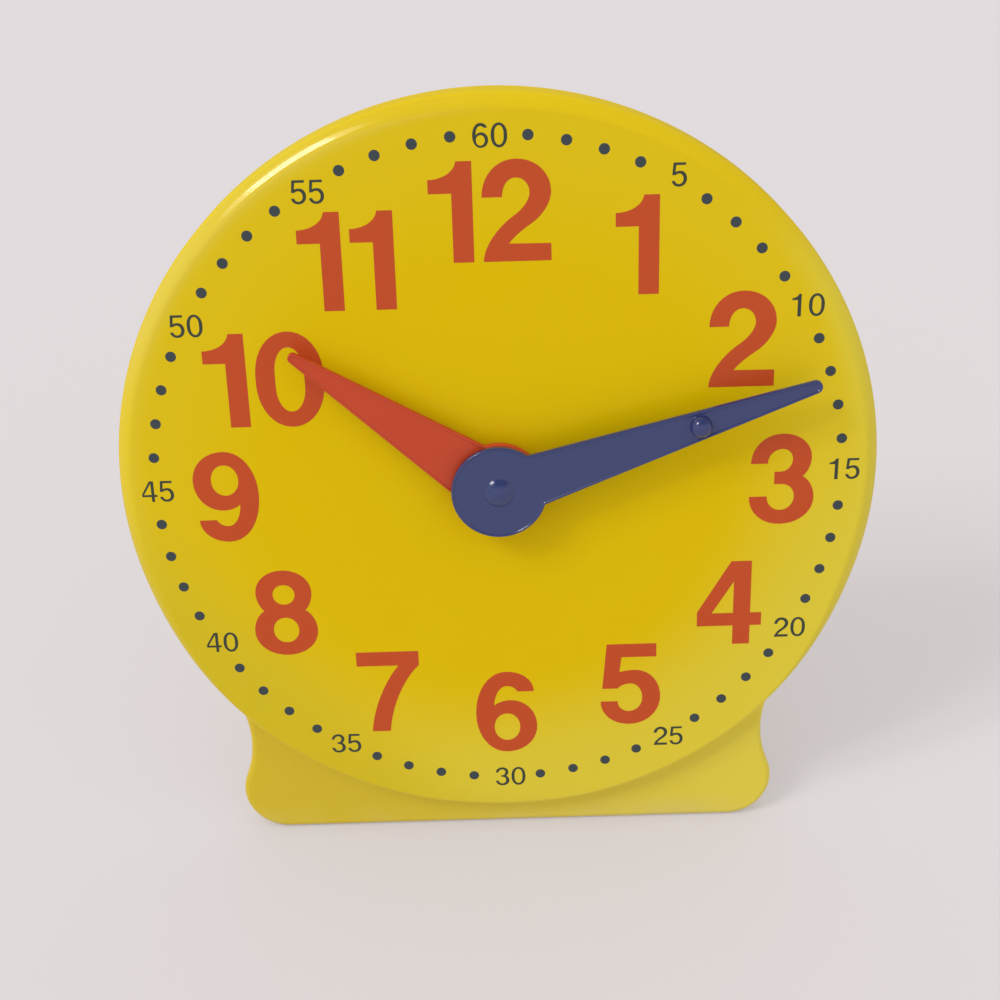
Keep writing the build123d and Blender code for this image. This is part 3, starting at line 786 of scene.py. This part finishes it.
dark_ink = printed_ink("dark_ink", dark_ink_colour, dark_ink_worn)
minute_curve = printed_curve("minute_numerals", steps=6, weight=-minute_thinning)
for minute, shift in minute_shifts.items():
    ring_x, ring_y = on_ring(minute, minute_ring)
    centre = (ring_x + shift[0] * mm, ring_y + shift[1] * mm)
    drawn_height = minute_height + 2 * minute_thinning
    draw_number(minute_curve, str(minute), centre, drawn_height, minute_gap, minute_gap_after_one)
add_piece("minute_numerals", printed_mesh(minute_curve), dark_ink, "case", "dark_ink")


# Minute dots. They are printed with the minute numerals, one for each minute that has no numeral, as thin
# discs of a slightly bluer ink whose edge has run a little.
dot_radius = 2.35 * mm
dot_top_share = 0.97
dot_side_share = 0.6
numeral_step = 5
on_numeral = 0.5
slate_ink_colour = (0.038, 0.052, 0.058, 1)
slate_ink_worn = (0.044, 0.058, 0.066, 1)


def tree_with_inputs(name, sizes):
    """Geometry node tree whose named sizes are inputs, with its input sockets and output node."""
    tree = bpy.data.node_groups.new(name, "GeometryNodeTree")
    tree.interface.new_socket("Geometry", in_out="INPUT", socket_type="NodeSocketGeometry")
    for size, (kind, value) in sizes.items():
        socket = tree.interface.new_socket(size, in_out="INPUT", socket_type=kind)
        socket.default_value = value
    tree.interface.new_socket("Geometry", in_out="OUTPUT", socket_type="NodeSocketGeometry")
    return tree, tree.nodes.new("NodeGroupInput").outputs, tree.nodes.new("NodeGroupOutput")


def finish_tree(tree, points, shape, material, out):
    """Ends a tree: the shape on each point, made real and given its material."""
    instances = add_node(tree, "GeometryNodeInstanceOnPoints", {"Points": points, "Instance": shape})
    real = add_node(tree, "GeometryNodeRealizeInstances", {"Geometry": instances.outputs["Instances"]})
    painted = {"Geometry": real.outputs["Geometry"], "Material": material}
    paint = add_node(tree, "GeometryNodeSetMaterial", painted)
    feed(tree, out, {"Geometry": paint.outputs["Geometry"]})


def grown(mesh, tree, values):
    """Plain mesh of what a geometry node tree makes of one, with its inputs set."""
    sockets = {item.name: item.identifier for item in tree.interface.items_tree if item.in_out == "INPUT"}

    def set_up(work):
        modifier = work.modifiers.new("repeat", "NODES")
        modifier.node_group = tree
        for size, value in values.items():
            modifier[sockets[size]] = value

    return evaluated(mesh, set_up)


slate_ink = printed_ink("slate_ink", slate_ink_colour, slate_ink_worn)
dot_tree, dot_in, dot_out = tree_with_inputs("minute_dots", {
    "Ring Radius": ("NodeSocketFloat", minute_ring),
    "Minutes": ("NodeSocketInt", minutes_in_turn),
    "Numeral Step": ("NodeSocketInt", numeral_step),
})
ring_points = add_node(dot_tree, "GeometryNodeMeshCircle", {
    "Vertices": dot_in["Minutes"], "Radius": dot_in["Ring Radius"],
})
ring_index = add_node(dot_tree, "GeometryNodeInputIndex", {}).outputs["Index"]
past_numeral = math_node(dot_tree, "MODULO", ring_index, dot_in["Numeral Step"])
has_numeral = add_node(
    dot_tree, "FunctionNodeCompare", {"A": past_numeral, "B": on_numeral},
    data_type="FLOAT", operation="LESS_THAN",
)
free_places = add_node(dot_tree, "GeometryNodeDeleteGeometry", {
    "Geometry": ring_points.outputs["Mesh"], "Selection": has_numeral.outputs["Result"],
})
finish_tree(dot_tree, free_places.outputs["Geometry"], dot_in["Geometry"], slate_ink, dot_out)

dot_profile = [
    (dot_radius, -ink_depth),
    (dot_radius, ink_depth * dot_side_share),
    (dot_radius * dot_top_share, ink_depth),
]
one_dot = lathe("dot", dot_profile, steps=24)
dot_mesh = grown(one_dot, dot_tree, {
    "Ring Radius": minute_ring, "Minutes": minutes_in_turn, "Numeral Step": numeral_step,
})
dot_mesh.transform(dial_place)
add_piece("minute_dots", dot_mesh, slate_ink, "case", "dark_ink")


# Motion work. Bush, washers, wheels and pinions are natural acetal, the bridge is a grey moulding, and the
# post, clips and screws are zinc-plated steel; all of it is shut inside the case.
acetal_colour = (0.74, 0.72, 0.66, 1)
acetal_cloud = (0.70, 0.68, 0.62, 1)
grey_colour = (0.17, 0.175, 0.18, 1)
grey_cloud = (0.19, 0.195, 0.2, 1)
zinc_colour = (0.60, 0.61, 0.63, 1)
zinc_cloud = (0.70, 0.69, 0.66, 1)
zinc_finish = {"Gloss": 0.34, "Handling": 0.5}

acetal = moulded("natural_acetal", acetal_colour, acetal_cloud, gloss=0.42, grain=0.6)
grey_moulding = moulded("grey_moulding", grey_colour, grey_cloud, gloss=0.5, grain=0.8)
zinc_plate, zinc_tree, zinc_shader = node_material("zinc_plate")
zinc_skin = add_node(zinc_tree, "ShaderNodeGroup", zinc_finish, node_tree=moulded_skin).outputs
feed(zinc_tree, zinc_shader, {
    "Base Color": toned(zinc_tree, zinc_skin["Cloud"], zinc_colour, zinc_cloud),
    "Metallic": 1.0,
    "Roughness": zinc_skin["Roughness"],
})

inner_finish = {
    "dial_bush": acetal, "hour_washer": acetal, "hour_wheel": acetal, "minute_pinion": acetal,
    "idler_gear": acetal, "idler_washer": acetal, "hand_spacer": acetal, "gear_bridge": grey_moulding,
    "idler_post": zinc_plate, "spring_washer": zinc_plate, "bridge_screws": zinc_plate,
    "arbor_clip": zinc_plate,
}
for node, finish in inner_finish.items():
    materials = frame["nodes"][node].data.materials
    materials.clear()
    materials.append(finish)


# Hour hand. A flat moulding in red polystyrene with a thin raised lip round its face, pressed on the flats
# of the hour pipe; its hub lies under the minute hand's.
hand_hub = 21 * mm
hand_thickness = 2.8 * mm
hand_lip_width = 1.1 * mm
hand_lip_height = 0.35 * mm
hand_lip_slope = 0.5 * mm
hand_lip_steps = 6
hand_edge_round = 0.6 * mm
hand_crotch = 1.2 * mm
hub_boss_inset = 1.1 * mm
hub_boss_bite = 0.2 * mm
hand_sharp_angle = 30
hour_hub_back = 3.4 * mm
hour_hand_front = 9.8 * mm
hour_reach = 109 * mm
hour_root = 30.4 * mm
hour_tip = 4.6 * mm
hour_bore = (6.02 * mm, 5.02 * mm)
hour_angle = 306
red_colour = (0.500, 0.050, 0.014, 1)
red_cloud = (0.530, 0.060, 0.018, 1)


def hand_outline(root_width, tip_width, reach, inset):
    """Round hub, straight taper and round tip of a hand that points up, drawn in by inset."""
    tip_round = tip_width / 2
    tip = Vector((0, reach - tip_round))
    taper = math.atan2(root_width / 2 - tip_round, tip.y)
    root = Vector((root_width / 2, 0))
    shoulder = tip + tip_round * Vector((math.cos(taper), math.sin(taper)))
    along = (shoulder - root).normalized()
    out = Vector((along.y, -along.x))
    to_line = root.dot(out) + hand_crotch
    up_line = math.sqrt((hand_hub + hand_crotch) ** 2 - to_line**2)
    crotch = out * to_line + along * up_line
    from_hub = math.atan2(crotch.y, crotch.x)
    side_way = math.atan2(out.y, out.x)
    hub_arc = arc((0, 0), hand_hub - inset, -math.pi / 2, from_hub, steps=44)
    crotch_arc = arc(crotch, hand_crotch + inset, from_hub + math.pi, side_way + math.pi, steps=6)
    tip_arc = arc(tip, tip_round - inset, side_way, math.pi / 2, steps=10)
    right = hub_arc + crotch_arc + tip_arc
    return right + [(-x, y) for x, y in reversed(right[1:-1])]


def flats_prism(name, bore, low, high):
    """Bore with two flats, as a closed block between two heights."""
    radius, flat = bore
    half = math.acos(flat / radius)
    section = arc((0, 0), radius, half, math.pi - half, steps=20)
    section += arc((0, 0), radius, math.pi + half, 2 * math.pi - half, steps=20)
    return loft(name, [[(x, y, z) for x, y in section] for z in (low, high)])


def hand_blank(name, root_width, tip_width, reach, front, hub_back, bore):
    """Hand with its lip, sunk field, deeper hub and bore, pointing up."""
    back = front - hand_thickness
    field = front - hand_lip_height
    edge = [(hand_edge_round - x, front - z) for x, z in rounded(hand_edge_round, steps=4)]
    profile = [(hand_edge_round, back), (0, back + hand_edge_round)] + edge[::-1]
    for step in range(hand_lip_steps + 1):
        share = step / hand_lip_steps
        drop = hand_lip_height * (1 - math.cos(math.pi * share)) / 2
        profile.append((hand_lip_width + (share - 0.5) * hand_lip_slope, front - drop))
    profile.append((hand_lip_width + hand_lip_slope, field))
    loops = []
    for inset, z in profile:
        loops.append([(x, y, z) for x, y in hand_outline(root_width, tip_width, reach, inset)])
    boss_radius = hand_hub - hub_boss_inset
    boss = lathe("boss", [(boss_radius, hub_back), (boss_radius, back + hub_boss_bite)], steps=96)
    blank = combined(loft(name, loops), boss, "UNION")
    cutter = flats_prism("bore", bore, hub_back - cut_margin, front + cut_margin)
    return combined(blank, cutter, "DIFFERENCE")


def turned(mesh, angle):
    """A hand swung clockwise from 12 o'clock and set on the dial."""
    mesh.transform(dial_place @ Matrix.Rotation(-math.radians(angle), 4, "Z"))
    return mesh


hour_mesh = hand_blank("hour", hour_root, hour_tip, hour_reach, hour_hand_front, hour_hub_back, hour_bore)
hour_mesh = shaded(turned(hour_mesh, hour_angle), hand_sharp_angle)
hour_red = moulded("hand_red", red_colour, red_cloud, gloss=0.30, handling=0.25, specular=0.3)
add_piece("hour_hand_red", hour_mesh, hour_red, "hour_train", "red_plastic", "hour_hand")


# Minute hand. The same kind of moulding in blue, longer and slimmer, with a rounded finger peg on its arm,
# pressed on the flats of the arbor.
minute_hub_back = 10.75 * mm
minute_hand_front = 14.05 * mm
minute_reach = 147 * mm
minute_root = 26.4 * mm
minute_tip = 5.8 * mm
minute_bore = (4.02 * mm, 3.22 * mm)
minute_angle = 72
peg_distance = 92.5 * mm
peg_radius = 4.8 * mm
peg_height = 5.2 * mm
peg_round = 4 * mm
peg_middle = 0.2 * mm
peg_foot = 0.4 * mm
peg_foot_turns = (0, 0.4, 0.8, 1.2, math.pi / 2)
blue_colour = (0.019, 0.031, 0.128, 1)
blue_cloud = (0.022, 0.036, 0.142, 1)

minute_mesh = hand_blank(
    "minute", minute_root, minute_tip, minute_reach, minute_hand_front, minute_hub_back, minute_bore
)
minute_field = minute_hand_front - hand_lip_height
peg_top = minute_field + peg_height
peg_profile = [(peg_middle, peg_top)]
peg_profile += [(peg_radius - peg_round + x, peg_top - z) for x, z in rounded(peg_round, steps=8)]
for turn in peg_foot_turns:
    foot_x = peg_radius + peg_foot - peg_foot * math.cos(turn)
    peg_profile.append((foot_x, minute_field + peg_foot - peg_foot * math.sin(turn)))
peg_profile.append((peg_radius + peg_foot, minute_field - hand_lip_height))
peg_mesh = lathe("peg", peg_profile, steps=48)
peg_mesh.transform(Matrix.Translation((0, peg_distance, 0)))
minute_mesh = combined(minute_mesh, peg_mesh, "UNION")
minute_mesh = shaded(turned(minute_mesh, minute_angle), hand_sharp_angle)
minute_blue = moulded("hand_blue", blue_colour, blue_cloud, gloss=0.15, handling=0.15, specular=0.7)
add_piece("minute_hand_blue", minute_mesh, minute_blue, "minute_train", "blue_plastic", "minute_hand")


# Minute arbor. A turned blue shaft whose low domed head shows in the middle of the minute hand's hub; it is
# keyed to the hand and the pinion, and clipped behind the bridge.
arbor_edge = 0.1 * mm
edge_steps = 3
edge_sharp_angle = 40
flat_within = math.radians(0.5)
solid_weld = 1e-6


def softened(node, edge):
    """Copy of a CAD node's mesh with its edges eased, as a tool leaves them."""
    bm = bmesh.new()
    bm.from_mesh(frame["nodes"][node].data)
    bmesh.ops.remove_doubles(bm, verts=bm.verts, dist=solid_weld)
    bmesh.ops.dissolve_limit(bm, angle_limit=flat_within, verts=bm.verts, edges=bm.edges)
    mesh = new_mesh(node, bm)

    def set_up(work):
        bevel = work.modifiers.new("edge", "BEVEL")
        bevel.width = edge
        bevel.segments = edge_steps
        bevel.limit_method = "ANGLE"
        bevel.angle_limit = math.radians(edge_sharp_angle)

    return shaded(evaluated(mesh, set_up), edge_sharp_angle)


arbor_mesh = softened("minute_arbor", arbor_edge)
add_piece("arbor_blue", arbor_mesh, minute_blue, "minute_train", "blue_plastic", "minute_arbor")


# Rear cover. A flat plate in the same yellow with a fine spark-eroded grain, let into the back of the
# shell, with sunk screw cups and two lugs for the leg's pin.
cover_edge = 0.4 * mm
grained_yellow = moulded(
    "grained_yellow", golden_yellow, lemon_yellow,
    gloss=0.42, peel=0.3, grain=1.2, handling=0.2, specular=0.35,
)
cover_mesh = softened("rear_cover", cover_edge)
add_piece("back_plate", cover_mesh, grained_yellow, "case", "yellow_plastic", "rear_cover")


# Cover screws. Seven zinc-plated pan heads with a cross recess, five round the dial and one in each corner
# of the foot, sunk in the cover's cups.
screw_radius = 1.5 * mm
screw_head_radius = 2.8 * mm
screw_head = 1.8 * mm
screw_head_side = 0.35
screw_head_turns = (0.4, 0.8, 1.1, 1.4)
screw_tip_share = 0.3
screw_length = 7 * mm
screw_seat = 17.5 * mm
screw_circle = 161 * mm
screw_places = 6
first_screw_turn = math.radians(30)
lowest_place = 4
compare_first = 2
compare_second = 3
foot_screw_spread = 108.5 * mm
foot_screw_height = -169.5 * mm
recess_half = 1.9 * mm
recess_wide = 0.45 * mm
recess_deep = 1.1 * mm
recess_start = 1.2
recess_taper = 0.55

screw_profile = [
    (screw_radius * screw_tip_share, screw_length),
    (screw_radius, screw_length - screw_radius),
    (screw_radius, 0),
    (screw_head_radius, 0),
    (screw_head_radius, -screw_head * screw_head_side),
]
for turn in screw_head_turns:
    head_share = screw_head_side + (1 - screw_head_side) * math.sin(turn)
    screw_profile.append((screw_head_radius * math.cos(turn), -screw_head * head_share))
one_screw = lathe("screw", screw_profile, steps=32)
for half_x, half_y in ((recess_half, recess_wide), (recess_wide, recess_half)):
    wide = [(half_x, half_y), (-half_x, half_y), (-half_x, -half_y), (half_x, -half_y)]
    slot_loops = [[(x, y, -screw_head * recess_start) for x, y in wide]]
    slot_loops += [[(x * recess_taper, y * recess_taper, recess_deep - screw_head) for x, y in wide]]
    one_screw = combined(one_screw, loft("recess", slot_loops), "DIFFERENCE")
one_screw = shaded(one_screw, sharp_angle=35)

screw_tree, screw_in, screw_out = tree_with_inputs("cover_screws", {
    "Ring Radius": ("NodeSocketFloat", screw_circle),
    "Foot Spread": ("NodeSocketFloat", foot_screw_spread),
    "Foot Height": ("NodeSocketFloat", foot_screw_height),
})
dial_ring = add_node(screw_tree, "GeometryNodeMeshCircle", {
    "Vertices": screw_places, "Radius": screw_in["Ring Radius"],
})
turned_ring = add_node(screw_tree, "GeometryNodeTransform", {
    "Geometry": dial_ring.outputs["Mesh"], "Rotation": (0, 0, first_screw_turn),
})
screw_index = add_node(screw_tree, "GeometryNodeInputIndex", {}).outputs["Index"]
lowest_screw = add_node(
    screw_tree, "FunctionNodeCompare", {compare_first: screw_index, compare_second: lowest_place},
    data_type="INT", operation="EQUAL",
)
without_lowest = add_node(screw_tree, "GeometryNodeDeleteGeometry", {
    "Geometry": turned_ring.outputs["Geometry"], "Selection": lowest_screw.outputs["Result"],
})
foot_left = math_node(screw_tree, "MULTIPLY", screw_in["Foot Spread"], -1)
foot_across = math_node(screw_tree, "MULTIPLY", screw_in["Foot Spread"], 2)
foot_start = add_node(screw_tree, "ShaderNodeCombineXYZ", {"X": foot_left, "Y": screw_in["Foot Height"]})
foot_step = add_node(screw_tree, "ShaderNodeCombineXYZ", {"X": foot_across})
foot_pair = add_node(screw_tree, "GeometryNodeMeshLine", {
    "Count": 2, "Start Location": foot_start.outputs["Vector"], "Offset": foot_step.outputs["Vector"],
})
all_places = add_node(screw_tree, "GeometryNodeJoinGeometry", {})
for places in (without_lowest.outputs["Geometry"], foot_pair.outputs["Mesh"]):
    feed(screw_tree, all_places, {"Geometry": places})
finish_tree(screw_tree, all_places.outputs["Geometry"], screw_in["Geometry"], zinc_plate, screw_out)

screw_mesh = grown(one_screw, screw_tree, {
    "Ring Radius": screw_circle, "Foot Spread": foot_screw_spread, "Foot Height": foot_screw_height,
})
screw_mesh.transform(dial_place @ Matrix.Translation((0, 0, -screw_seat)))
add_piece("back_screws", screw_mesh, zinc_plate, "case", "steel", "cover_screws")


# Fold-out leg. A ribbed channel in the grained yellow that swings out behind the cover until its heel stops
# it, on a steel pin through both lugs.
leg_edge = 0.5 * mm
pin_edge = 0.2 * mm
add_piece("rear_leg", softened("leg", leg_edge), grained_yellow, "stand_leg", "yellow_plastic", "leg")
add_piece("leg_pin", softened("hinge_pin", pin_edge), zinc_plate, "case", "steel", "hinge_pin")
